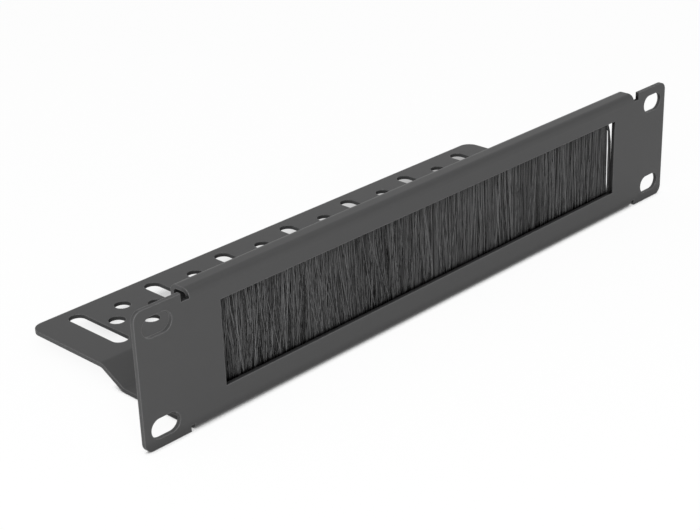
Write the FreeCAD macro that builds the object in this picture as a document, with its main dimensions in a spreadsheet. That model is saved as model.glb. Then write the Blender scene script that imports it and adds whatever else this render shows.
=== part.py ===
"""Rack brush strip panel for a 10 inch rack, one rack unit high, in millimetres.

One steel sheet is cut and folded into the whole panel. Its face has two ears with slotted rack
holes and a long window. The upper edge folds into a channel that opens downwards, and the lower
edge folds back into a stepped tray with holes for cable ties. A strip brush hangs from the channel
behind the window: a steel holder pinches bristles that are doubled over a core wire.

X runs along the panel, Y from the front face to the rear, Z up. The origin is the middle of the
four rack holes on the front face.
"""
import FreeCAD, Part
import math
import os
import Sketcher

FRONT, TOP, SIDE = "XZ_Plane", "XY_Plane", "YZ_Plane"
START, END, CENTRE = 1, 2, 3
ORIGIN, ACROSS_AXIS, UP_AXIS = -1, -1, -2
SAME = 1e-6

# Each driving size once: its name, its value and what it measures.
SIZES = (
    ("rack_pitch_across", 236.525, "ear slot centres, left to right, 10 inch rack"),
    ("rack_pitch_up", 31.75, "ear slot centres, bottom to top, one rack unit"),
    ("slot_to_end", 7.9375, "ear slot centre to the end of the panel"),
    ("slot_to_edge", 6.125, "ear slot centre to the upper or lower edge of the panel"),
    ("slot_to_relief", 8.9625, "ear slot centre to the inner end of the ear"),
    ("slot_to_window", 23.1625, "ear slot centre to the end of the window"),
    ("rack_slot_length", 10.6, "ear slot, end to end"),
    ("rack_slot_width", 6.4, "ear slot, across, for an M6 screw"),
    ("ear_radius", 3.0, "outer corners of the ears"),
    ("sheet", 1.4, "coated sheet thickness"),
    ("bend_inside", 0.6, "inner radius of the bend below the face"),
    ("channel_bend_inside", 1.2, "inner radius of the channel's bends"),
    ("flange_relief", 3.0, "gap between an ear and the end of the upper channel"),
    ("tray_relief", 1.6, "gap between an ear and the side of the tray"),
    ("window_head", 7.1, "upper edge of the panel to the window"),
    ("window_sill", 9.2, "lower edge of the panel to the window"),
    ("channel_depth", 8.0, "front face to the rear face of the channel's lip"),
    ("lip_height", 7.0, "upper edge of the panel to the end of the lip"),
    ("land", 3.0, "length of face that each folded section shares with the panel"),
    ("tray_depth", 79.7, "front face to the rear edge of the tray"),
    ("tray_upper_length", 35.9, "rear edge of the tray to the top of its step"),
    ("tray_rise", 5.1, "height of the step in the tray"),
    ("step_angle", 28.0, "slope of the step, degrees"),
    ("step_bend_inside", 3.0, "inner radius of the step's bends"),
    ("tray_corner_radius", 4.5, "rear corners of the tray"),
    ("strap_slot_width", 5.8, "slot for a strap, across"),
    ("strap_slot_rear", 3.6, "rear edge of the tray to the strap slots"),
    ("strap_slot_front", 5.1, "top of the step to the strap slots"),
    ("strap_slot_side", 14.2, "side of the tray to the centre of the last strap slot"),
    ("strap_slot_count", 7, "number of strap slots"),
    ("tie_hole", 5.6, "diameter of a round cable tie hole"),
    ("tie_hole_aside", 7.475, "centre of a side tie hole to the centre of the strap slot next to it"),
    ("tie_hole_reach", 7.35, "centre of a bay to the centre of its front or rear tie hole"),
    ("strip_end_gap", 0.6, "end of the brush strip to the end of the window"),
    ("strip_clearance", 0.05, "gap between the holder and the channel"),
    ("holder_recess", 0.25, "top of the window to the mouth of the holder"),
    ("holder_sheet", 0.8, "sheet thickness of the holder"),
    ("holder_bend_inside", 0.5, "inner radius of the holder's bends"),
    ("holder_pinch", 0.3, "how far each leg of the holder leans in at its mouth"),
    ("wire_diameter", 1.1, "core wire that the bristles are doubled over"),
    ("fibre_clearance", 0.05, "gap around the bristles in the holder and around the wire"),
    ("tip_flare", 0.15, "how far the bristles spread on each side at their tips"),
    ("tip_below_sill", 3.5, "level of the window's lower edge to the bristle tips below it"),
)

# Sizes that follow from the driving ones.
WORKED = (
    ("half_width", "=Sizes.rack_pitch_across / 2 + Sizes.slot_to_end"),
    ("half_height", "=Sizes.rack_pitch_up / 2 + Sizes.slot_to_edge"),
    ("half_relief", "=Sizes.rack_pitch_across / 2 - Sizes.slot_to_relief"),
    ("half_flange", "=half_relief - Sizes.flange_relief"),
    ("half_tray", "=half_relief - Sizes.tray_relief"),
    ("half_window", "=Sizes.rack_pitch_across / 2 - Sizes.slot_to_window"),
    ("window_top", "=half_height - Sizes.window_head"),
    ("window_drop", "=half_height - Sizes.window_sill"),
    ("bend_outside", "=Sizes.bend_inside + Sizes.sheet"),
    ("bend_line", "=half_height - bend_outside"),
    ("channel_bend_outside", "=Sizes.channel_bend_inside + Sizes.sheet"),
    ("channel_bend_line", "=half_height - channel_bend_outside"),
    ("rack_slot_reach", "=(Sizes.rack_slot_length - Sizes.rack_slot_width) / 2"),
    ("step_top", "=Sizes.tray_depth - Sizes.tray_upper_length"),
    ("tray_top_drop", "=half_height - Sizes.sheet - Sizes.tray_rise"),
    ("strap_pitch", "=2 * (half_tray - Sizes.strap_slot_side) / (Sizes.strap_slot_count - 1)"),
    ("strap_rear", "=Sizes.tray_depth - Sizes.strap_slot_rear - Sizes.strap_slot_width / 2"),
    ("strap_front", "=step_top + Sizes.strap_slot_front + Sizes.strap_slot_width / 2"),
    ("strap_middle", "=(strap_rear + strap_front) / 2"),
    ("first_strap", "=half_tray - Sizes.strap_slot_side"),
    ("first_bay", "=first_strap - strap_pitch / 2"),
    ("tie_side_reach", "=strap_pitch / 2 - Sizes.tie_hole_aside"),
    ("strip_half", "=half_window - Sizes.strip_end_gap"),
    ("strip_middle", "=Sizes.channel_depth / 2"),
    ("holder_half", "=strip_middle - Sizes.sheet - Sizes.strip_clearance"),
    ("holder_top", "=half_height - Sizes.sheet - Sizes.strip_clearance"),
    ("holder_mouth", "=window_top + Sizes.holder_recess"),
    ("holder_inner_top", "=holder_top - Sizes.holder_sheet"),
    ("pinch_angle", "=atan(Sizes.holder_pinch / (holder_top - holder_mouth)) / 1 deg"),
    ("mouth_half", "=holder_half - Sizes.holder_pinch - Sizes.holder_sheet"),
    ("fibre_half", "=mouth_half - Sizes.fibre_clearance"),
    ("fibre_top", "=holder_inner_top - Sizes.fibre_clearance"),
    ("wire_above_mouth", "=(fibre_top - holder_mouth - fibre_half * cos(pinch_angle * 1 deg)) "
                         "/ (1 + sin(pinch_angle * 1 deg))"),
    ("wire_height", "=holder_mouth + wire_above_mouth"),
    ("fibre_radius", "=fibre_top - wire_height"),
    ("tip_half", "=fibre_half + Sizes.tip_flare"),
    ("tip_drop", "=window_drop + Sizes.tip_below_sill"),
)


def make_sheets(doc):
    """The sheet of driving sizes and the sheet of sizes worked out from them."""
    sizes = doc.addObject("Spreadsheet::Sheet", "Sizes")
    for row, (alias, value, meaning) in enumerate(SIZES, 1):
        sizes.set("A%d" % row, alias)
        sizes.set("B%d" % row, str(value))
        sizes.set("C%d" % row, meaning)
        sizes.setAlias("B%d" % row, alias)
    doc.recompute()
    worked = doc.addObject("Spreadsheet::Sheet", "Worked")
    for row, (alias, formula) in enumerate(WORKED, 1):
        worked.set("A%d" % row, alias)
        worked.setAlias("B%d" % row, alias)
        worked.set("B%d" % row, formula)
    doc.recompute()


def value_of(owner, expression):
    """The number that an expression on the sheets has now, an angle in degrees."""
    return float(owner.evalExpression(expression))


def make_body(doc, name):
    body = doc.addObject("PartDesign::Body", name)
    body.Label = name
    return body


def origin_feature(body, role):
    return next(feature for feature in body.Origin.OriginFeatures if feature.Role == role)


def make_sketch(body, name, plane):
    sketch = body.newObject("Sketcher::SketchObject", name)
    sketch.AttachmentSupport = [(origin_feature(body, plane), "")]
    sketch.MapMode = "FlatFace"
    return sketch


def rule(sketch, kind, *where):
    sketch.addConstraint(Sketcher.Constraint(kind, *where))


def dimension(sketch, name, expression, kind, *where):
    """A named dimension that follows an expression on the sheets."""
    value = value_of(sketch, expression)
    first = math.radians(value) if kind == "Angle" else value
    index = sketch.addConstraint(Sketcher.Constraint(kind, *where, first))
    sketch.renameConstraint(index, name)
    sketch.setExpression("Constraints." + name, expression)


def level(sketch, name, axis, geometry, point, expression):
    """Holds a point at a distance from the origin, on the minus side where a minus comes first."""
    kind = "Distance" + axis
    if expression == "0":
        rule(sketch, "PointOnObject", geometry, point, UP_AXIS if axis == "X" else ACROSS_AXIS)
    elif expression.startswith("-"):
        dimension(sketch, name, expression[1:], kind, geometry, point, ORIGIN, START)
    else:
        dimension(sketch, name, expression, kind, ORIGIN, START, geometry, point)


def line(sketch, begin, finish):
    segment = Part.LineSegment(FreeCAD.Vector(*begin, 0), FreeCAD.Vector(*finish, 0))
    return sketch.addGeometry(segment, False)


def arc(sketch, centre, radius, begin, finish):
    circle = Part.Circle(FreeCAD.Vector(*centre, 0), FreeCAD.Vector(0, 0, 1), radius)
    return sketch.addGeometry(Part.ArcOfCircle(circle, begin, finish), False)


def rectangle(sketch, name, left, right, bottom, top):
    """Four sides held by their distances from the origin."""
    x0, x1, y0, y1 = (value_of(sketch, side) for side in (left, right, bottom, top))
    corners = ((x0, y0), (x1, y0), (x1, y1), (x0, y1))
    sides = [line(sketch, corners[i], corners[(i + 1) % 4]) for i in range(4)]
    for i, side in enumerate(sides):
        rule(sketch, "Coincident", side, END, sides[(i + 1) % 4], START)
        rule(sketch, "Vertical" if i % 2 else "Horizontal", side)
    level(sketch, name + "_left", "X", sides[0], START, left)
    level(sketch, name + "_bottom", "Y", sides[0], START, bottom)
    level(sketch, name + "_right", "X", sides[2], START, right)
    level(sketch, name + "_top", "Y", sides[2], START, top)


def obround(sketch, name, first, second, width):
    """A slot round two centres, each a pair of expressions; the second lies right of or above it."""
    a = [value_of(sketch, part) for part in first]
    b = [value_of(sketch, part) for part in second]
    radius = value_of(sketch, width) / 2
    turn = math.atan2(b[1] - a[1], b[0] - a[0])
    quarter = math.pi / 2
    side = (-math.sin(turn) * radius, math.cos(turn) * radius)
    near = arc(sketch, a, radius, turn + quarter, turn + 3 * quarter)
    far = arc(sketch, b, radius, turn - quarter, turn + quarter)
    left = line(sketch, (b[0] + side[0], b[1] + side[1]), (a[0] + side[0], a[1] + side[1]))
    right = line(sketch, (a[0] - side[0], a[1] - side[1]), (b[0] - side[0], b[1] - side[1]))
    rule(sketch, "Tangent", far, END, left, START)
    rule(sketch, "Tangent", left, END, near, START)
    rule(sketch, "Tangent", near, END, right, START)
    rule(sketch, "Tangent", right, END, far, START)
    rule(sketch, "Equal", near, far)
    dimension(sketch, name + "_radius", width + " / 2", "Radius", near)
    for tag, bow, centre in (("a", near, first), ("b", far, second)):
        level(sketch, name + "_x_" + tag, "X", bow, CENTRE, centre[0])
        level(sketch, name + "_y_" + tag, "Y", bow, CENTRE, centre[1])


def circle(sketch, name, centre, diameter):
    """A round hole; the centre is a pair of expressions."""
    x, y = (value_of(sketch, part) for part in centre)
    round_edge = Part.Circle(FreeCAD.Vector(x, y, 0), FreeCAD.Vector(0, 0, 1), value_of(sketch, diameter) / 2)
    hole = sketch.addGeometry(round_edge, False)
    dimension(sketch, name + "_diameter", diameter, "Diameter", hole)
    level(sketch, name + "_x", "X", hole, CENTRE, centre[0])
    level(sketch, name + "_y", "Y", hole, CENTRE, centre[1])


def folded_sheet(sketch, start, heading, lengths, bends, thickness):
    """Outline of a folded sheet seen end on, from leg to bend to leg.

    start is where the left side begins, heading its direction in degrees. A bend is its turn in
    degrees, to the left when positive, and the expression of its inner radius. Every bend has two
    arcs about one centre, tangent to straight legs, and square caps close the ends. The lengths only
    place the first guess: the caller adds the dimensions. Returns the left and the right sides.
    """
    thick = value_of(sketch, thickness)
    x, y = start
    angle = math.radians(heading)
    left_sides, right_sides, pending = [], [], None
    for i, length in enumerate(lengths):
        across = (math.sin(angle) * thick, -math.cos(angle) * thick)
        x_end, y_end = x + math.cos(angle) * length, y + math.sin(angle) * length
        left = line(sketch, (x, y), (x_end, y_end))
        right = line(sketch, (x + across[0], y + across[1]), (x_end + across[0], y_end + across[1]))
        rule(sketch, "Parallel", left, right)
        left_sides.append(left)
        right_sides.append(right)
        if pending:
            for bow, point, side in zip(pending[0::2], pending[1::2], (left, right)):
                rule(sketch, "Tangent", bow, point, side, START)
        if i == len(bends):
            break
        turn, inner = bends[i]
        radius = value_of(sketch, inner)
        sweep = math.radians(turn)
        leftward = 1 if turn > 0 else -1
        reach = radius if turn > 0 else radius + thick
        centre = (x_end - math.sin(angle) * reach * leftward, y_end + math.cos(angle) * reach * leftward)
        begin = angle - leftward * math.pi / 2
        span = sorted((begin, begin + sweep))
        first, last = (START, END) if turn > 0 else (END, START)
        left_bow = arc(sketch, centre, reach, *span)
        right_bow = arc(sketch, centre, radius + thick if turn > 0 else radius, *span)
        rule(sketch, "Coincident", left_bow, CENTRE, right_bow, CENTRE)
        rule(sketch, "Tangent", left, END, left_bow, first)
        rule(sketch, "Tangent", right, END, right_bow, first)
        dimension(sketch, "bend_%d" % i, inner, "Radius", left_bow if turn > 0 else right_bow)
        pending = (left_bow, last, right_bow, last)
        angle += sweep
        x = centre[0] + leftward * math.sin(angle) * reach
        y = centre[1] - leftward * math.cos(angle) * reach
    for name, index, point in (("first", 0, START), ("last", -1, END)):
        left, right = left_sides[index], right_sides[index]
        corners = [sketch.getPoint(side, point) for side in (left, right)]
        cap = line(sketch, (corners[0].x, corners[0].y), (corners[1].x, corners[1].y))
        rule(sketch, "Coincident", cap, START, left, point)
        rule(sketch, "Coincident", cap, END, right, point)
        rule(sketch, "Perpendicular", cap, left)
        if name == "first":
            dimension(sketch, "thickness", thickness, "Distance", cap)
    return left_sides, right_sides


def pad(body, name, sketch, length, symmetric=True):
    feature = body.newObject("PartDesign::Pad", name)
    feature.Profile = sketch
    feature.SideType = "Symmetric" if symmetric else "One side"
    feature.Reversed = not symmetric
    feature.setExpression("Length", length)
    body.Document.recompute()
    return feature


def cut(body, name, sketch, depth=None):
    """A pocket of the given depth behind the sketch, or through everything when none is given."""
    before = body.Tip.Shape.Volume
    feature = body.newObject("PartDesign::Pocket", name)
    feature.Profile = sketch
    feature.Type = "Length" if depth else "ThroughAll"
    if depth:
        feature.setExpression("Length", depth)
    body.Document.recompute()
    if feature.Shape.Volume > before - SAME:
        raise RuntimeError(name + " removes nothing")
    return feature


def repeat_along(body, name, feature, count, span):
    """Repeats a cut towards +X, evenly over the span."""
    before = feature.Shape.Volume
    pattern = body.newObject("PartDesign::LinearPattern", name)
    pattern.Originals = [feature]
    pattern.Direction = (origin_feature(body, "X_Axis"), [""])
    pattern.Mode = "Extent"
    pattern.setExpression("Length", span)
    pattern.setExpression("Occurrences", count)
    body.Tip = pattern
    body.Document.recompute()
    if pattern.Shape.Volume > before - SAME:
        raise RuntimeError(name + " removes nothing")
    return pattern


def round_corners(body, name, radius, wanted):
    """Fillets the straight edges of the body's tip whose middle and direction are wanted."""
    base = body.Tip
    names = []
    for i, edge in enumerate(base.Shape.Edges, 1):
        if edge.Curve.TypeId == "Part::GeomLine":
            if wanted(edge.valueAt((edge.FirstParameter + edge.LastParameter) / 2), edge.tangentAt(0)):
                names.append("Edge%d" % i)
    feature = body.newObject("PartDesign::Fillet", name)
    feature.Base = (base, names)
    feature.setExpression("Radius", radius)
    body.Document.recompute()
    return feature


def near(a, b):
    return abs(a - b) < 1e-3


def make_face(body):
    """The flat front with its ears, cut back between the ears to where the bends begin."""
    outline = make_sketch(body, "FaceOutline", FRONT)
    rectangle(outline, "face", "-Worked.half_width", "Worked.half_width",
              "-Worked.half_height", "Worked.half_height")
    pad(body, "Face", outline, "Sizes.sheet", symmetric=False)
    strips = make_sketch(body, "BendReliefOutline", FRONT)
    rectangle(strips, "upper", "-Worked.half_relief", "Worked.half_relief",
              "Worked.channel_bend_line", "Worked.half_height")
    rectangle(strips, "lower", "-Worked.half_relief", "Worked.half_relief",
              "-Worked.half_height", "-Worked.bend_line")
    cut(body, "BendRelief", strips, "Sizes.sheet")


def make_channel(body):
    """The upper edge folded back and down, so that it makes a channel that opens downwards."""
    profile = make_sketch(body, "ChannelProfile", SIDE)
    land = value_of(profile, "Sizes.land")
    bend_line = value_of(profile, "Worked.channel_bend_line")
    outside = value_of(profile, "Worked.channel_bend_outside")
    flat = value_of(profile, "Sizes.channel_depth") - 2 * outside
    lip = value_of(profile, "Sizes.lip_height") - outside
    bend = (-90, "Sizes.channel_bend_inside")
    left, right = folded_sheet(profile, (0, bend_line - land), 90, (land, flat, lip), (bend, bend),
                               "Sizes.sheet")
    rule(profile, "Vertical", left[0])
    rule(profile, "Horizontal", left[1])
    rule(profile, "Vertical", left[2])
    level(profile, "front", "X", left[0], START, "0")
    level(profile, "begin", "Y", left[0], START, "Worked.channel_bend_line - Sizes.land")
    level(profile, "top", "Y", left[1], START, "Worked.half_height")
    level(profile, "rear", "X", left[2], START, "Sizes.channel_depth")
    level(profile, "lip_end", "Y", left[2], END, "Worked.half_height - Sizes.lip_height")
    pad(body, "Channel", profile, "2 * Worked.half_flange")


def make_tray(body):
    """The lower edge folded back, flat for a way, then up a sloping step to its rear half."""
    profile = make_sketch(body, "TrayProfile", SIDE)
    land = value_of(profile, "Sizes.land")
    sheet = value_of(profile, "Sizes.sheet")
    bend_line = value_of(profile, "Worked.bend_line")
    outside = value_of(profile, "Worked.bend_outside")
    slope = value_of(profile, "Sizes.step_angle")
    tilt = math.radians(slope)
    radii = 2 * value_of(profile, "Sizes.step_bend_inside") + sheet
    ramp = (value_of(profile, "Sizes.tray_rise") - radii * (1 - math.cos(tilt))) / math.sin(tilt)
    run = radii * math.sin(tilt) + ramp * math.cos(tilt)
    lower = value_of(profile, "Worked.step_top") - run - outside
    lengths = (land, lower, ramp, value_of(profile, "Sizes.tray_upper_length"))
    bends = ((90, "Sizes.bend_inside"), (slope, "Sizes.step_bend_inside"), (-slope, "Sizes.step_bend_inside"))
    left, right = folded_sheet(profile, (sheet, land - bend_line), -90, lengths, bends, "Sizes.sheet")
    rule(profile, "Vertical", left[0])
    rule(profile, "Horizontal", left[1])
    rule(profile, "Horizontal", left[3])
    dimension(profile, "slope", "Sizes.step_angle * 1 deg", "Angle", left[1], START, left[2], START)
    level(profile, "front", "X", right[0], START, "0")
    level(profile, "begin", "Y", right[0], START, "Sizes.land - Worked.bend_line")
    level(profile, "bottom", "Y", right[1], START, "-Worked.half_height")
    level(profile, "upper", "Y", left[3], START, "-Worked.tray_top_drop")
    level(profile, "step_top", "X", left[3], START, "Worked.step_top")
    level(profile, "rear", "X", left[3], END, "Sizes.tray_depth")
    pad(body, "Tray", profile, "2 * Worked.half_tray")


def make_window(body):
    opening = make_sketch(body, "WindowOutline", FRONT)
    rectangle(opening, "window", "-Worked.half_window", "Worked.half_window",
              "-Worked.window_drop", "Worked.window_top")
    cut(body, "Window", opening, "Sizes.sheet")


def make_rack_slots(body):
    """Four slots in the ears for the rack screws, long from left to right."""
    slots = make_sketch(body, "RackSlotOutline", FRONT)
    inner = "(Sizes.rack_pitch_across / 2 - Worked.rack_slot_reach)"
    outer = "(Sizes.rack_pitch_across / 2 + Worked.rack_slot_reach)"
    middle = "Sizes.rack_pitch_up / 2"
    for row, height in (("lower", "-" + middle), ("upper", middle)):
        obround(slots, "left_" + row, ("-" + outer, height), ("-" + inner, height), "Sizes.rack_slot_width")
        obround(slots, "right_" + row, (inner, height), (outer, height), "Sizes.rack_slot_width")
    cut(body, "RackSlots", slots, "Sizes.sheet")


def make_tie_holes(body):
    """Strap slots along the tray, and between each two of them a diamond of round holes."""
    slot = make_sketch(body, "StrapSlotOutline", TOP)
    obround(slot, "strap", ("-Worked.first_strap", "Worked.strap_front"),
            ("-Worked.first_strap", "Worked.strap_rear"), "Sizes.strap_slot_width")
    first = cut(body, "FirstStrapSlot", slot)
    repeat_along(body, "StrapSlots", first, "Sizes.strap_slot_count", "2 * Worked.first_strap")
    diamond = make_sketch(body, "TieHoleOutline", TOP)
    bay = "-Worked.first_bay"
    circle(diamond, "front", (bay, "Worked.strap_middle - Sizes.tie_hole_reach"), "Sizes.tie_hole")
    circle(diamond, "rear", (bay, "Worked.strap_middle + Sizes.tie_hole_reach"), "Sizes.tie_hole")
    circle(diamond, "left", ("-(Worked.first_bay + Worked.tie_side_reach)", "Worked.strap_middle"),
           "Sizes.tie_hole")
    circle(diamond, "right", ("-(Worked.first_bay - Worked.tie_side_reach)", "Worked.strap_middle"),
           "Sizes.tie_hole")
    bay_holes = cut(body, "FirstTieHoles", diamond)
    repeat_along(body, "TieHoles", bay_holes, "Sizes.strap_slot_count - 1",
                 "2 * Worked.first_strap - Worked.strap_pitch")


def make_panel(doc):
    """The whole panel, folded from one sheet."""
    body = make_body(doc, "rack_panel")
    make_face(body)
    make_channel(body)
    make_tray(body)
    make_window(body)
    make_rack_slots(body)
    make_tie_holes(body)
    half_width = value_of(body, "Worked.half_width")
    half_height = value_of(body, "Worked.half_height")
    half_tray = value_of(body, "Worked.half_tray")
    depth = value_of(body, "Sizes.tray_depth")
    round_corners(body, "EarCorners", "Sizes.ear_radius",
                  lambda middle, way: near(abs(middle.x), half_width) and near(abs(middle.z), half_height)
                  and near(abs(way.y), 1))
    round_corners(body, "TrayCorners", "Sizes.tray_corner_radius",
                  lambda middle, way: near(abs(middle.x), half_tray) and near(middle.y, depth)
                  and near(abs(way.z), 1))
    return body


def make_holder(doc):
    """The strip's steel holder: a channel whose legs lean in and pinch the bristles."""
    body = make_body(doc, "brush_holder")
    profile = make_sketch(body, "HolderProfile", SIDE)
    lean = value_of(profile, "Worked.pinch_angle")
    tilt = math.radians(lean)
    sheet = value_of(profile, "Sizes.holder_sheet")
    outside = sheet + value_of(profile, "Sizes.holder_bend_inside")
    half = value_of(profile, "Worked.mouth_half") + sheet * math.cos(tilt)
    bottom = value_of(profile, "Worked.holder_mouth") - sheet * math.sin(tilt)
    leg = value_of(profile, "Worked.holder_top") - outside * (1 + math.sin(tilt)) - bottom
    leg /= math.cos(tilt)
    flat = 2 * (half + leg * math.sin(tilt) - outside * math.cos(tilt))
    bend = (-90 - lean, "Sizes.holder_bend_inside")
    left, right = folded_sheet(profile, (value_of(profile, "Worked.strip_middle") - half, bottom),
                               90 + lean, (leg, flat, leg), (bend, bend), "Sizes.holder_sheet")
    rule(profile, "Horizontal", left[1])
    level(profile, "top", "Y", left[1], START, "Worked.holder_top")
    for name, side, point, sign in (("front", 0, START, " - "), ("rear", 2, END, " + ")):
        level(profile, name + "_mouth", "Y", right[side], point, "Worked.holder_mouth")
        level(profile, name + "_inside", "X", right[side], point,
              "Worked.strip_middle" + sign + "Worked.mouth_half")
    upright = "(90 - Worked.pinch_angle) * 1 deg"
    dimension(profile, "front_lean", upright, "Angle", left[0], END, left[1], START)
    dimension(profile, "rear_lean", upright, "Angle", left[1], END, left[2], START)
    pad(body, "Holder", profile, "2 * Worked.strip_half")
    return body


def make_wire(doc):
    body = make_body(doc, "core_wire")
    section = make_sketch(body, "WireSection", SIDE)
    circle(section, "wire", ("Worked.strip_middle", "Worked.wire_height"), "Sizes.wire_diameter")
    pad(body, "Wire", section, "2 * Worked.strip_half")
    return body


def make_bristles(doc):
    """The bristles as one block: doubled over the wire, pinched at the mouth, hanging past the sill."""
    body = make_body(doc, "bristles")
    section = make_sketch(body, "BristleSection", SIDE)
    middle = value_of(section, "Worked.strip_middle")
    mouth = value_of(section, "Worked.holder_mouth")
    waist = value_of(section, "Worked.fibre_half")
    tip_half = value_of(section, "Worked.tip_half")
    tip = -value_of(section, "Worked.tip_drop")
    radius = value_of(section, "Worked.fibre_radius")
    wire = value_of(section, "Worked.wire_height")
    lean = math.radians(value_of(section, "Worked.pinch_angle"))
    shoulder = (radius * math.cos(lean), wire - radius * math.sin(lean))
    top = arc(section, (middle, wire), radius, -lean, math.pi + lean)
    points = ((-shoulder[0], shoulder[1]), (-waist, mouth), (-tip_half, tip),
              (tip_half, tip), (waist, mouth), shoulder)
    corners = [(middle + across, up) for across, up in points]
    sides = [line(section, corners[i], corners[i + 1]) for i in range(5)]
    rule(section, "Tangent", top, END, sides[0], START)
    rule(section, "Tangent", sides[4], END, top, START)
    for i in range(4):
        rule(section, "Coincident", sides[i], END, sides[i + 1], START)
    level(section, "loop_across", "X", top, CENTRE, "Worked.strip_middle")
    level(section, "loop_height", "Y", top, CENTRE, "Worked.wire_height")
    for name, side, sign in (("front", 0, " - "), ("rear", 3, " + ")):
        level(section, name + "_waist", "X", sides[side], END, "Worked.strip_middle" + sign + "Worked.fibre_half")
        level(section, name + "_mouth", "Y", sides[side], END, "Worked.holder_mouth")
    dimension(section, "loop_radius", "Worked.fibre_radius", "Radius", top)
    level(section, "front_tip", "X", sides[1], END, "Worked.strip_middle - Worked.tip_half")
    level(section, "rear_tip", "X", sides[2], END, "Worked.strip_middle + Worked.tip_half")
    level(section, "front_drop", "Y", sides[1], END, "-Worked.tip_drop")
    level(section, "rear_drop", "Y", sides[2], END, "-Worked.tip_drop")
    circle(section, "wire_hole", ("Worked.strip_middle", "Worked.wire_height"),
           "Sizes.wire_diameter + 2 * Sizes.fibre_clearance")
    pad(body, "Bristles", section, "2 * Worked.strip_half")
    return body


def check(doc, bodies):
    """Stops before anything is written if an object failed or a solid isn't sound."""
    for item in doc.Objects:
        if "Invalid" in item.State or "Error" in item.State:
            raise RuntimeError("%s failed: %s" % (item.Name, item.State))
        if item.TypeId == "Sketcher::SketchObject" and not item.FullyConstrained:
            raise RuntimeError(item.Name + " isn't fully constrained")
    for body in bodies:
        shape = body.Shape
        if shape.isNull() or not shape.isValid() or len(shape.Solids) != 1:
            raise RuntimeError(body.Label + " isn't one sound solid")


def main():
    doc = FreeCAD.newDocument("rack_brush_strip_panel")
    make_sheets(doc)
    bodies = [make_panel(doc), make_holder(doc), make_wire(doc), make_bristles(doc)]
    doc.recompute()
    check(doc, bodies)
    os.makedirs("parts", exist_ok=True)
    for body in bodies:
        body.Shape.exportStep(os.path.join("parts", body.Label + ".step"))
        box = body.Shape.BoundBox
        print("%-14s volume %9.2f  X %.2f..%.2f  Y %.2f..%.2f  Z %.2f..%.2f" % (
            body.Label, body.Shape.Volume, box.XMin, box.XMax, box.YMin, box.YMax, box.ZMin, box.ZMax))


main()
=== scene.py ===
"""The look of a rack brush strip panel: a powder-coated folded sheet with a nylon strip brush.

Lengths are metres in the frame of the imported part. X runs along the panel, Y to the rear, Z up.
"""

import math

import bpy
import numpy as np
from mathutils import Matrix, Vector


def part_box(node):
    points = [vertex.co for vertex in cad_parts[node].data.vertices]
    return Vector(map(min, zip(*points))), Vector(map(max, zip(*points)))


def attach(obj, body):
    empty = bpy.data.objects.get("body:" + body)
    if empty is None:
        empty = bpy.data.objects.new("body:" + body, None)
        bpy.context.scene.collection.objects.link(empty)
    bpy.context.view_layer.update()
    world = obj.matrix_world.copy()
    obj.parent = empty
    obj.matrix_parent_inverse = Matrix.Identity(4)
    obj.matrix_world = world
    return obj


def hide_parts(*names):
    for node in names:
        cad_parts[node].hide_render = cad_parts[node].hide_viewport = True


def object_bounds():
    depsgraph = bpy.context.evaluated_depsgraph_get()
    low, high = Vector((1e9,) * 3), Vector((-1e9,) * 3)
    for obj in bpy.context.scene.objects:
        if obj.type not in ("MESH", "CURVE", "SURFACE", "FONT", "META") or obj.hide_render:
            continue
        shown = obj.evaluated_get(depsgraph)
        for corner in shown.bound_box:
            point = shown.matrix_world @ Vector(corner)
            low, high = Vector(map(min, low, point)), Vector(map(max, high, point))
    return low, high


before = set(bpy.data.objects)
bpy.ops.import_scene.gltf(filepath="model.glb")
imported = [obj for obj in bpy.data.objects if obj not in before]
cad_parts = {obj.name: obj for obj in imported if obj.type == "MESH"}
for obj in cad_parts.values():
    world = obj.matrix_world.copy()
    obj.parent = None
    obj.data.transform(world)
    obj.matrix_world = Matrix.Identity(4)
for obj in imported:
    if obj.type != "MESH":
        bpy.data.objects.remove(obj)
cad_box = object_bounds()

MM = 0.001
PANEL, HOLDER, WIRE, BRISTLES = "rack_panel", "brush_holder", "core_wire", "bristles"
LEFT, _, BASE = cad_box[0]
RIGHT, REAR, _ = cad_box[1]
STRIP_LOW, STRIP_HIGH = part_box(BRISTLES)
TIP_BELOW_SILL = 3.5 * MM
SILL = STRIP_LOW[2] + TIP_BELOW_SILL

# Camera at the photograph's place.
IMAGE_WIDTH = 700
SENSOR_MM = 36.0
FOCAL_PIXELS = 1601.355
EYE = Vector((-0.3582896, -0.3129853, 0.2119964))
AHEAD = Vector((0.6448064, 0.6394131, -0.4187787))
RIGHTWARD = Vector((0.6932551, -0.7199866, -0.0318869))
NEAR_CLIP, FAR_CLIP = 0.01, 20

# Filaments of the strip brush, from its left end to its right.
SEED = 41
FILAMENTS = 4400
BATCHES = 4
FILAMENT_RADIUS = 0.11 * MM
SIDES = 4
LEG_POINTS = 8
LOOP_POINTS = 5
LEFT_ROOT = STRIP_LOW[0] + 0.3 * MM
RIGHT_ROOT = STRIP_HIGH[0] - 0.1 * MM

# How thick the bundle is over the wire and at the mouth of the holder, from its innermost layer out.
OUTER_CROWDING = 0.75
WIRE_GAP = 0.08 * MM
LOOP_BUILD_UP = 0.70 * MM
INNER_WAIST = 0.12 * MM
WAIST_BUILD_UP = 1.16 * MM
WAIST_FLARE = 0.10
DEPTH_SCATTER = 0.16 * MM
LEAST_DEPTH = 0.05 * MM

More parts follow.
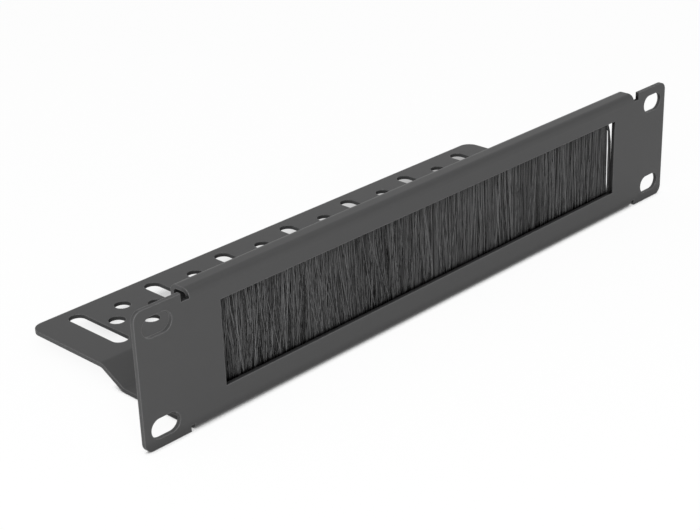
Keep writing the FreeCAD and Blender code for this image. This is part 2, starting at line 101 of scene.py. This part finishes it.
# How the filaments leave the upright. A scatter is a standard deviation.
LEAN_SCATTER = 3.7 * MM
LEAN_CURVE = 1.2
WILD_SHARE = 0.12
WILD_SCATTER = 2.5 * MM
CLUMP_PITCH_AND_SCATTER = ((5.0 * MM, 0.7 * MM), (1.2 * MM, 0.12 * MM))
CLUMP_REACH = 110 * MM
UNRULY_X = (-30 * MM, 0, 40 * MM)
UNRULY_SHARE = (1.0, 0.55, 0.40)
WAVE_SCATTER = 0.14 * MM
WAVE_TURNS = (0.6, 1.6)
WAVE_ONSET = 6
TIP_SCATTER = 0.22 * MM
LEFT_SPILL = 0.6 * MM
RIGHT_SPILL = 2.0 * MM

# At its right end the bundle is calmer and splays a little.
END_REACH = 5 * MM
END_LEAN_SHARE = 0.4
END_SPLAY = 0.8 * MM
SPLAY_FADE = 1.5
SPLAY_CURVE = 0.3

# Strays, the few filaments that hang free beside the right end.
STRAYS = 20
STRAY_ROOTS = 1.6 * MM
FAR_STRAY_SHARE = 0.85
FAR_STRAY_X = (RIGHT_ROOT + 1.3 * MM, RIGHT_ROOT + 2.0 * MM)
NEAR_STRAY_X = (RIGHT_ROOT + 0.4 * MM, RIGHT_ROOT + 1.1 * MM)
STRAY_TURN = 11
STRAY_WAVE = 0.15 * MM
STRAY_DEPTH = 1.6 * MM
STRAY_DEPTH_TURN = 8

# Parting in the front legs, a little left of the middle.
PARTING = -1.0 * MM
PARTING_HALF = 0.60 * MM
PARTING_REACH = 1.2 * MM
PARTING_ONSET = 8
PARTING_SCATTER = 0.10 * MM

# Floor, and where on it the painted shade under the tray comes in and reaches its full depth.
FLOOR_REACH = 4.0
SHADE_LEFT = (LEFT + 31.2 * MM, LEFT + 76.2 * MM)
SHADE_RIGHT = (RIGHT - 6.2 * MM, RIGHT - 16.2 * MM)
SHADE_FRONT = (4 * MM, 8 * MM)
SHADE_REAR = (REAR + 12.3 * MM, REAR + 4.3 * MM)
SHADE_DEEPENS = (LEFT + 46.2 * MM, RIGHT - 6.2 * MM)

# Light. A room stop is the sine of the height above the horizon and the level there.
ROOM_HORIZON, ROOM_ZENITH = 0.78, 0.80
ROOM_STOPS = ((0.38, 0.72), (0.60, 0.28), (0.70, 0.28), (0.86, 0.78))
KEY_PLACE = (-0.60, -0.50, 0.60)
KEY_AIM = (0, 0.02, 0)
KEY_SIZE = 0.7
KEY_WATTS = 7.2


def view_camera():
    """A camera at the photograph's place, with its lens."""
    camera = bpy.data.objects.new("camera", bpy.data.cameras.new("camera"))
    bpy.context.collection.objects.link(camera)
    right = RIGHTWARD.normalized()
    up = right.cross(AHEAD).normalized()
    back = right.cross(up)
    turn = Matrix((right, up, back)).transposed()
    camera.matrix_world = Matrix.Translation(EYE) @ turn.to_4x4()
    camera.data.sensor_fit = "HORIZONTAL"
    camera.data.sensor_width = SENSOR_MM
    camera.data.lens = FOCAL_PIXELS * SENSOR_MM / IMAGE_WIDTH
    camera.data.clip_start = NEAR_CLIP
    camera.data.clip_end = FAR_CLIP
    bpy.context.scene.camera = camera


class Nodes:
    """A short way to place and link shader nodes."""

    # Sockets of the Mix node that have no name of their own when it mixes colours.
    MIX_LOW, MIX_HIGH, MIX_RESULT = 6, 7, 2

    def __init__(self, tree):
        self.tree = tree
        tree.nodes.clear()

    def add(self, kind, settings=None, **inputs):
        """A new node. An input's name has _ in place of each space."""
        node = self.tree.nodes.new(kind)
        for name, value in (settings or {}).items():
            setattr(node, name, value)
        for name, value in inputs.items():
            self.feed(node, name.replace("_", " "), value)
        return node

    def feed(self, node, name, value):
        """Links a socket to an input, or sets the input to a plain value."""
        if isinstance(value, bpy.types.NodeSocket):
            self.tree.links.new(value, node.inputs[name])
        else:
            node.inputs[name].default_value = value

    def where(self):
        """The place on the object."""
        return self.add("ShaderNodeTexCoord").outputs["Object"]

    def along(self, where, name):
        """One coordinate of a place or direction."""
        return self.add("ShaderNodeSeparateXYZ", Vector=where).outputs[name]

    def stretch(self, where, scale):
        """A place with its axes scaled, which draws a texture out along a small one."""
        return self.add("ShaderNodeMapping", Vector=where, Scale=scale).outputs["Vector"]

    def noise(self, where, scale, detail=2.0):
        """Noise with about scale features in a metre."""
        return self.add("ShaderNodeTexNoise", Vector=where, Scale=scale, Detail=detail).outputs["Fac"]

    def bump(self, height, strength, depth, **under):
        """The surface's normal with a relief in it, on top of another Normal if one is given."""
        node = self.add("ShaderNodeBump", Strength=strength, Distance=depth, Height=height, **under)
        return node.outputs["Normal"]

    def openness(self, reach, samples):
        """1 in the open, towards 0 in a corner that is closed within reach."""
        return self.add("ShaderNodeAmbientOcclusion", {"samples": samples}, Distance=reach).outputs["AO"]

    def facing(self, normal):
        """1 where a normal is the surface's own, less where it leans away."""
        own = self.add("ShaderNodeNewGeometry").outputs["Normal"]
        node = self.add("ShaderNodeVectorMath", {"operation": "DOT_PRODUCT"})
        self.feed(node, 0, normal)
        self.feed(node, 1, own)
        return node.outputs["Value"]

    def ramp(self, factor, low, high):
        """Stretches a factor from 0..1 to low..high."""
        return self.add("ShaderNodeMapRange", Value=factor, To_Min=low, To_Max=high).outputs["Result"]

    def step(self, factor, start, end):
        """A smooth step from 0 to 1 between two values of a factor."""
        node = self.add("ShaderNodeMapRange", {"interpolation_type": "SMOOTHSTEP"},
                        Value=factor, From_Min=start, From_Max=end)
        return node.outputs["Result"]

    def combine(self, kind, first, second):
        """One arithmetic step on two factors."""
        node = self.add("ShaderNodeMath", {"operation": kind})
        self.feed(node, 0, first)
        self.feed(node, 1, second)
        return node.outputs[0]

    def blend(self, factor, low, high):
        """A colour between two colours."""
        node = self.add("ShaderNodeMix", {"data_type": "RGBA"}, Factor=factor)
        self.feed(node, self.MIX_LOW, (*low, 1))
        self.feed(node, self.MIX_HIGH, (*high, 1))
        return node.outputs[self.MIX_RESULT]

    def tint(self, factor, colour):
        """The colour times a factor."""
        node = self.add("ShaderNodeVectorMath", {"operation": "SCALE"}, Scale=factor)
        self.feed(node, 0, colour)
        return node.outputs[0]

    def mix_shaders(self, share, first, second):
        """A mix of two shaders, with a share of the second."""
        node = self.add("ShaderNodeMixShader")
        self.feed(node, 0, share)
        self.feed(node, 1, first.outputs[0])
        self.feed(node, 2, second.outputs[0])
        return node

    def finish(self, kind, shader):
        """Ends a material or a world in its shader."""
        self.add(kind, Surface=shader.outputs[0])


def grey(value):
    """A grey with a trace of blue."""
    return (value, value, value * 1.01)


def material(name):
    """A new material and its empty node tree."""
    made = bpy.data.materials.new(name)
    made.use_nodes = True
    return made, Nodes(made.node_tree)


def orange_peel(nodes, where, edge):
    """The normal of a sprayed and melted powder, over that of the rounded edges."""
    peel = nodes.noise(where, scale=1900.0)
    grain = nodes.noise(where, scale=5200.0, detail=1.0)
    large = nodes.bump(peel, strength=0.22, depth=0.02 * MM, Normal=edge)
    return nodes.bump(grain, strength=0.15, depth=0.006 * MM, Normal=large)


def painted_shade_openness(nodes, where):
    """Share free of painted shade: 1 on open faces, towards 0 in a crevice. What is just above the floor
    counts as mostly open.
    """
    reach, closed, clear = 4 * MM, 0.62, 0.95
    foot_start, foot_end, foot_clearness = BASE + 6.5 * MM, BASE + 3.5 * MM, 0.78
    crevice = nodes.step(nodes.openness(reach, samples=5), closed, clear)
    foot = nodes.step(nodes.along(where, "Z"), foot_start, foot_end)
    return nodes.combine("MAXIMUM", crevice, nodes.ramp(foot, 0.0, foot_clearness))


def powder_coat():
    """Satin black polyester powder: a fine orange peel and rounded edges, with a painted highlight that
    pales the edges and painted shade in crevices.
    """
    edge_radius, flat, turned, edge_highlight_gain = 0.6 * MM, 0.995, 0.85, 2.8
    darkest, plain_gloss = 0.08, 0.5
    made, nodes = material("powder_coat")
    where = nodes.where()
    mottle = nodes.noise(where, scale=160.0, detail=3.0)
    edge = nodes.add("ShaderNodeBevel", {"samples": 6}, Radius=edge_radius).outputs["Normal"]
    # Painted highlight: the colour grows paler at the rounded edges.
    edge_highlight = nodes.step(nodes.facing(edge), flat, turned)
    clear = painted_shade_openness(nodes, where)
    colour = nodes.blend(mottle, grey(0.043), grey(0.047))
    # Painted shade: the colour, and below also the gloss, darken in crevices.
    colour = nodes.tint(nodes.ramp(clear, darkest, 1.0), colour)
    colour = nodes.tint(nodes.ramp(edge_highlight, 1.0, edge_highlight_gain), colour)
    shader = nodes.add("ShaderNodeBsdfPrincipled", Base_Color=colour,
                       Roughness=nodes.ramp(mottle, 0.38, 0.44), Normal=orange_peel(nodes, where, edge),
                       Specular_IOR_Level=nodes.ramp(clear, darkest, plain_gloss))
    nodes.finish("ShaderNodeOutputMaterial", shader)
    return made


def bare_metal(nodes, colour, roughness, relief):
    """Bare metal, as the end of a material."""
    shader = nodes.add("ShaderNodeBsdfPrincipled", Base_Color=colour, Metallic=1.0,
                       Roughness=roughness, Normal=relief)
    nodes.finish("ShaderNodeOutputMaterial", shader)


def galvanised():
    """Zinc-coated strip: blurred spangle and light rolling lines along X."""
    made, nodes = material("galvanised_strip")
    where = nodes.where()
    lines = nodes.noise(nodes.stretch(where, (0.03, 1, 1)), scale=9000.0)
    spangle = nodes.add("ShaderNodeTexVoronoi", {"feature": "F1"}, Vector=where, Scale=420.0)
    patch = nodes.add("ShaderNodeSeparateColor", Color=spangle.outputs["Color"]).outputs[0]
    colour = nodes.blend(patch, (0.42, 0.43, 0.44), (0.60, 0.61, 0.62))
    relief = nodes.bump(lines, strength=0.2, depth=0.01 * MM)
    bare_metal(nodes, colour, nodes.ramp(patch, 0.34, 0.5), relief)
    return made


def drawn_wire():
    """Bright drawn steel with die lines along X."""
    made, nodes = material("drawn_wire")
    lines = nodes.noise(nodes.stretch(nodes.where(), (0.01, 1, 1)), scale=14000.0)
    colour = nodes.blend(lines, (0.40, 0.40, 0.40), (0.56, 0.56, 0.55))
    relief = nodes.bump(lines, strength=0.3, depth=0.008 * MM)
    bare_metal(nodes, colour, nodes.ramp(lines, 0.28, 0.42), relief)
    return made


def nylon():
    """Black nylon: each filament lighter or duller than the next, shiny, with painted shade inside the
    bundle and by the sill.
    """
    inside_reach, inside, outside, inner_shade_share = 1.5 * MM, 0.05, 0.60, 0.30
    below_sill, above_sill, sill_shade_share = SILL - 0.6 * MM, SILL + 0.5 * MM, 0.08
    pale_rarity = 1.5
    made, nodes = material("black_nylon")
    where = nodes.where()
    each = nodes.add("ShaderNodeNewGeometry").outputs["Random Per Island"]
    streak = nodes.noise(nodes.stretch(where, (1, 1, 0.08)), scale=900.0, detail=1.0)
    level = nodes.combine("POWER", each, pale_rarity)
    level = nodes.combine("MULTIPLY", level, nodes.ramp(streak, 0.85, 1.15))
    colour = nodes.blend(level, grey(0.008), grey(0.145))
    # Painted shade deep inside the bundle.
    outer = nodes.step(nodes.openness(inside_reach, samples=3), inside, outside)
    colour = nodes.tint(nodes.ramp(outer, inner_shade_share, 1.0), colour)
    # Painted shade on the filaments just above the sill.
    lit = nodes.step(nodes.along(where, "Z"), below_sill, above_sill)
    colour = nodes.tint(nodes.ramp(lit, sill_shade_share, 1.0), colour)
    shader = nodes.add("ShaderNodeBsdfPrincipled", Base_Color=colour,
                       Roughness=nodes.ramp(each, 0.24, 0.42))
    nodes.finish("ShaderNodeOutputMaterial", shader)
    return made


def tube_mesh(name, paths, radius, sides):
    """One mesh with a closed tube along each path. paths is filaments x points x 3."""
    count, points, _ = paths.shape
    ahead = np.gradient(paths, axis=1)
    ahead /= np.linalg.norm(ahead, axis=2, keepdims=True)
    across = np.zeros_like(ahead)
    across[..., 0] = 1
    across -= (across * ahead).sum(axis=2, keepdims=True) * ahead
    across /= np.linalg.norm(across, axis=2, keepdims=True)
    other = np.cross(ahead, across)
    turns = (np.arange(sides) * 2 * math.pi / sides + math.pi / sides)[:, None]
    ring = (across[:, :, None] * np.cos(turns) + other[:, :, None] * np.sin(turns)) * radius
    corners = (paths[:, :, None] + ring).reshape(-1, 3)
    first = (np.arange(count) * points * sides)[:, None, None]
    row = (np.arange(points - 1) * sides)[None, :, None]
    side = np.arange(sides)[None, None, :]
    after = (side + 1) % sides
    quads = np.stack([first + row + side, first + row + after,
                      first + row + sides + after, first + row + sides + side], axis=-1).reshape(-1, 4)
    start_caps = first[:, :, 0] + np.arange(sides)[::-1][None, :]
    end_caps = first[:, :, 0] + (points - 1) * sides + np.arange(sides)[None, :]
    return mesh_object(name, corners, np.concatenate([quads, start_caps, end_caps]))


def mesh_object(name, corners, faces):
    """A smooth mesh object from arrays of vertices and of faces that have equally many corners."""
    mesh = bpy.data.meshes.new(name)
    size = faces.shape[1]
    mesh.vertices.add(len(corners))
    mesh.vertices.foreach_set("co", corners.astype(np.float32).ravel())
    mesh.loops.add(faces.size)
    mesh.loops.foreach_set("vertex_index", faces.astype(np.int32).ravel())
    mesh.polygons.add(len(faces))
    mesh.polygons.foreach_set("loop_start", (np.arange(len(faces)) * size).astype(np.int32))
    mesh.polygons.foreach_set("use_smooth", np.ones(len(faces), dtype=bool))
    mesh.update(calc_edges=True)
    mesh.validate()
    made = bpy.data.objects.new(name, mesh)
    bpy.context.collection.objects.link(made)
    return made


def filament_roots(random):
    """X of each filament at the wire, in order, and which of them are strays."""
    x = random.uniform(LEFT_ROOT, RIGHT_ROOT, FILAMENTS)
    x[:STRAYS] = random.uniform(RIGHT_ROOT - STRAY_ROOTS, RIGHT_ROOT, STRAYS)
    order = np.argsort(x)
    return x[order], order < STRAYS


def smooth_field(random, where, pitch, scatter):
    """A smooth random value along X with features about pitch apart."""
    knots = np.arange(-CLUMP_REACH, CLUMP_REACH, pitch)
    return np.interp(where, knots, random.normal(0, scatter, len(knots)))


def tip_lean(random, x, unruly):
    """How far each tip leans along X: with its clump, by itself and, for a few, wildly."""
    clump = sum(smooth_field(random, x, pitch, scatter) for pitch, scatter in CLUMP_PITCH_AND_SCATTER)
    wild = random.random(FILAMENTS) < WILD_SHARE
    single = random.normal(0, LEAN_SCATTER, FILAMENTS)
    lean = unruly * (clump + single + wild * random.normal(0, WILD_SCATTER, FILAMENTS))
    return np.where(x > RIGHT_ROOT - END_REACH, END_LEAN_SHARE * lean, lean)


def leg_waves(random, unruly, stray, down):
    """A shallow wave down each leg, which starts from nothing at the root."""
    wave = unruly * np.abs(random.normal(0, WAVE_SCATTER, FILAMENTS)) + STRAY_WAVE * stray
    turns = random.uniform(*WAVE_TURNS, FILAMENTS)
    start = random.uniform(0, 2 * math.pi, FILAMENTS)
    swing = np.sin(2 * math.pi * turns[:, None] * down + start[:, None])
    return wave[:, None] * swing * np.minimum(1, WAVE_ONSET * down)


def stray_course(random, x, down):
    """X down each leg if it were a stray: it turns aside below its root, then hangs."""
    far = random.random(FILAMENTS) < FAR_STRAY_SHARE
    goal = np.where(far, random.uniform(*FAR_STRAY_X, FILAMENTS), random.uniform(*NEAR_STRAY_X, FILAMENTS))
    return x[:, None] + (goal - x)[:, None] * (1 - np.exp(-STRAY_TURN * down))


def open_parting(random, x, sideways, down):
    """Draws the legs near the parting away from it, and keeps every leg on its own side."""
    side = np.sign(x - PARTING)
    push = side * PARTING_HALF * np.exp(-np.abs(x - PARTING) / PARTING_REACH)
    opening = np.minimum(1, PARTING_ONSET * down)
    sideways = sideways + push[:, None] * opening
    ragged = np.abs(random.normal(0, PARTING_SCATTER, (FILAMENTS, 1)))
    edge = PARTING + side[:, None] * (PARTING_HALF + ragged) * opening
    return np.where(side[:, None] > 0, np.maximum(sideways, edge), np.minimum(sideways, edge))


def leg_depth(random, waist, stray, down, most):
    """How far each leg lies to the front or rear of the strip's middle."""
    scatter = random.normal(0, DEPTH_SCATTER, FILAMENTS)
    deep = waist[:, None] + (waist[:, None] * WAIST_FLARE + scatter[:, None]) * down
    outermost = waist[:, None] + (STRAY_DEPTH - waist)[:, None] * (1 - np.exp(-STRAY_DEPTH_TURN * down))
    return np.where(stray[:, None], outermost, np.clip(deep, LEAST_DEPTH, most))


def leg_paths(random, x, stray, waist, sign):
    """Centre lines of the front legs, sign -1, or the rear ones, sign 1, from the holder's mouth down."""
    middle = (STRIP_LOW[1] + STRIP_HIGH[1]) / 2
    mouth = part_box(HOLDER)[0][2]
    down = np.linspace(0, 1, LEG_POINTS)[None, :]
    unruly = np.interp(x, UNRULY_X, UNRULY_SHARE)
    splay = END_SPLAY * np.clip(1 - (RIGHT_ROOT - x) / END_REACH, 0, 1) ** SPLAY_FADE
    lean = tip_lean(random, x, unruly)
    tip = STRIP_LOW[2] + np.abs(random.normal(0, TIP_SCATTER, FILAMENTS))
    height = mouth + (tip[:, None] - mouth) * down
    waves = leg_waves(random, unruly, stray, down)
    sideways = x[:, None] + lean[:, None] * down ** LEAN_CURVE + waves + splay[:, None] * down ** SPLAY_CURVE
    sideways = np.where(stray[:, None], stray_course(random, x, down) + waves, sideways)
    if sign < 0:
        sideways = open_parting(random, x, sideways, down)
    sideways = np.clip(sideways, STRIP_LOW[0] - LEFT_SPILL, STRIP_HIGH[0] + RIGHT_SPILL)
    deep = leg_depth(random, waist, stray, down, STRIP_HIGH[1] - middle - FILAMENT_RADIUS)
    return np.stack([sideways, middle + sign * deep, height], axis=-1)


def loop_paths(x, loop):
    """Centre lines over the wire, from front to rear."""
    wire_low, wire_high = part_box(WIRE)
    middle = (STRIP_LOW[1] + STRIP_HIGH[1]) / 2
    wire_z = (wire_low[2] + wire_high[2]) / 2
    radius = (wire_high[2] - wire_low[2]) / 2 + loop[:, None]
    angle = np.linspace(0, math.pi, LOOP_POINTS)[None, :]
    return np.stack([np.broadcast_to(x[:, None], (FILAMENTS, LOOP_POINTS)),
                     middle - radius * np.cos(angle), wire_z + radius * np.sin(angle)], axis=-1)


def brush_paths(random):
    """Centre lines of the doubled filaments: up the front leg, round the wire and down the rear leg."""
    x, stray = filament_roots(random)
    layer = random.uniform(0, 1, FILAMENTS) ** OUTER_CROWDING
    loop = WIRE_GAP + FILAMENT_RADIUS + layer * LOOP_BUILD_UP
    waist = INNER_WAIST + layer * WAIST_BUILD_UP
    front = leg_paths(random, x, stray, waist, -1)
    rear = leg_paths(random, x, stray, waist, 1)
    return np.concatenate([front[:, ::-1], loop_paths(x, loop), rear], axis=1)


def make_brush():
    """The filaments in batches along the strip, which stand for the plain block of bristles."""
    finish = nylon()
    paths = brush_paths(np.random.default_rng(SEED))
    for number, batch in enumerate(np.array_split(paths, BATCHES), 1):
        piece = tube_mesh("brush_filaments_%d" % number, batch, FILAMENT_RADIUS, SIDES)
        piece.data.materials.append(finish)
        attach(piece, "root")
        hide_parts(BRISTLES)


def repaint(node, finish):
    """Gives a CAD node its finish."""
    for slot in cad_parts[node].material_slots:
        slot.material = finish


def make_world():
    """A pale room: bright round the horizon and overhead, dimmer between; plain white behind the object."""
    world = bpy.data.worlds.new("studio")
    bpy.context.scene.world = world
    world.use_nodes = True
    nodes = Nodes(world.node_tree)
    way = nodes.add("ShaderNodeTexCoord").outputs["Generated"]
    room = nodes.add("ShaderNodeValToRGB", Fac=nodes.along(way, "Z"))
    stops = room.color_ramp.elements
    stops[0].color = (ROOM_HORIZON, ROOM_HORIZON, ROOM_HORIZON, 1)
    stops[1].color = (ROOM_ZENITH, ROOM_ZENITH, ROOM_ZENITH, 1)
    for place, level in ROOM_STOPS:
        stops.new(place).color = (level, level, level, 1)
    behind = nodes.add("ShaderNodeLightPath").outputs["Is Camera Ray"]
    strength = nodes.combine("MAXIMUM", room.outputs["Color"], behind)
    back = nodes.add("ShaderNodeBackground", Color=(1, 1, 1, 1), Strength=strength)
    nodes.finish("ShaderNodeOutputWorld", back)


def tray_shade(nodes, x, y):
    """Where shade is painted on the floor: 1 under the tray, 0 round it."""
    under = nodes.combine("MULTIPLY", nodes.step(y, *SHADE_REAR), nodes.step(y, *SHADE_FRONT))
    under = nodes.combine("MULTIPLY", under, nodes.step(x, *SHADE_RIGHT))
    return nodes.combine("MULTIPLY", under, nodes.step(x, *SHADE_LEFT))


def white_with_painted_shadow(nodes):
    """How white the camera sees the table: full in the open, with painted shadow where the object closes it
    in and under the tray.
    """
    contact_reach, cover_reach = 3 * MM, 6 * MM
    darkest, full, deep_shade = 0.13, 1.02, 0.40
    where = nodes.where()
    x, y = nodes.along(where, "X"), nodes.along(where, "Y")
    under = tray_shade(nodes, x, y)
    # Painted contact shadow and shadow under cover, from occlusion.
    contact = nodes.step(nodes.openness(contact_reach, samples=5), 0.28, 0.65)
    cover = nodes.step(nodes.openness(cover_reach, samples=7), 0.42, 0.95)
    cover = nodes.combine("MAXIMUM", cover, nodes.ramp(under, 1.0, 0.0))
    glow = nodes.ramp(nodes.combine("MULTIPLY", contact, cover), darkest, full)
    # Painted shade under the tray, deeper to the right.
    painted_shade_deepening = nodes.combine("MULTIPLY", nodes.step(x, *SHADE_DEEPENS), under)
    return nodes.combine("MULTIPLY", glow, nodes.ramp(painted_shade_deepening, 1.0, deep_shade))


def white_table():
    """White to the camera, with a painted shadow in its glow and a faint real shadow from its diffuse part;
    plain and diffuse to all other rays.
    """
    white_share = 0.9
    made, nodes = material("white_table")
    plain = nodes.add("ShaderNodeBsdfDiffuse", Color=(0.8, 0.8, 0.8, 1))
    white = nodes.add("ShaderNodeEmission", Color=(1, 1, 1, 1), Strength=white_with_painted_shadow(nodes))
    shown = nodes.mix_shaders(white_share, plain, white)
    seen = nodes.add("ShaderNodeLightPath").outputs["Is Camera Ray"]
    nodes.finish("ShaderNodeOutputMaterial", nodes.mix_shaders(seen, plain, shown))
    return made


def make_floor():
    """A large table top under the panel's lower edge and the front part of the tray."""
    outline = np.array([(-1, -1), (1, -1), (1, 1), (-1, 1)]) * FLOOR_REACH
    corners = np.column_stack([outline, np.full(len(outline), BASE)])
    floor = mesh_object("floor", corners, np.arange(len(outline))[None, :])
    floor.data.materials.append(white_table())


def key_light():
    """A square soft box in front of the object, left of it and above."""
    lamp = bpy.data.lights.new("key", "AREA")
    lamp.shape = "SQUARE"
    lamp.size = KEY_SIZE
    lamp.energy = KEY_WATTS
    soft_box = bpy.data.objects.new("key", lamp)
    bpy.context.collection.objects.link(soft_box)
    soft_box.location = KEY_PLACE
    aim = Vector(KEY_AIM) - Vector(KEY_PLACE)
    soft_box.rotation_euler = aim.to_track_quat("-Z", "Y").to_euler()


bpy.context.scene.view_settings.view_transform = "Standard"
view_camera()
repaint(PANEL, powder_coat())
repaint(HOLDER, galvanised())
repaint(WIRE, drawn_wire())
make_brush()
make_world()
make_floor()
key_light()
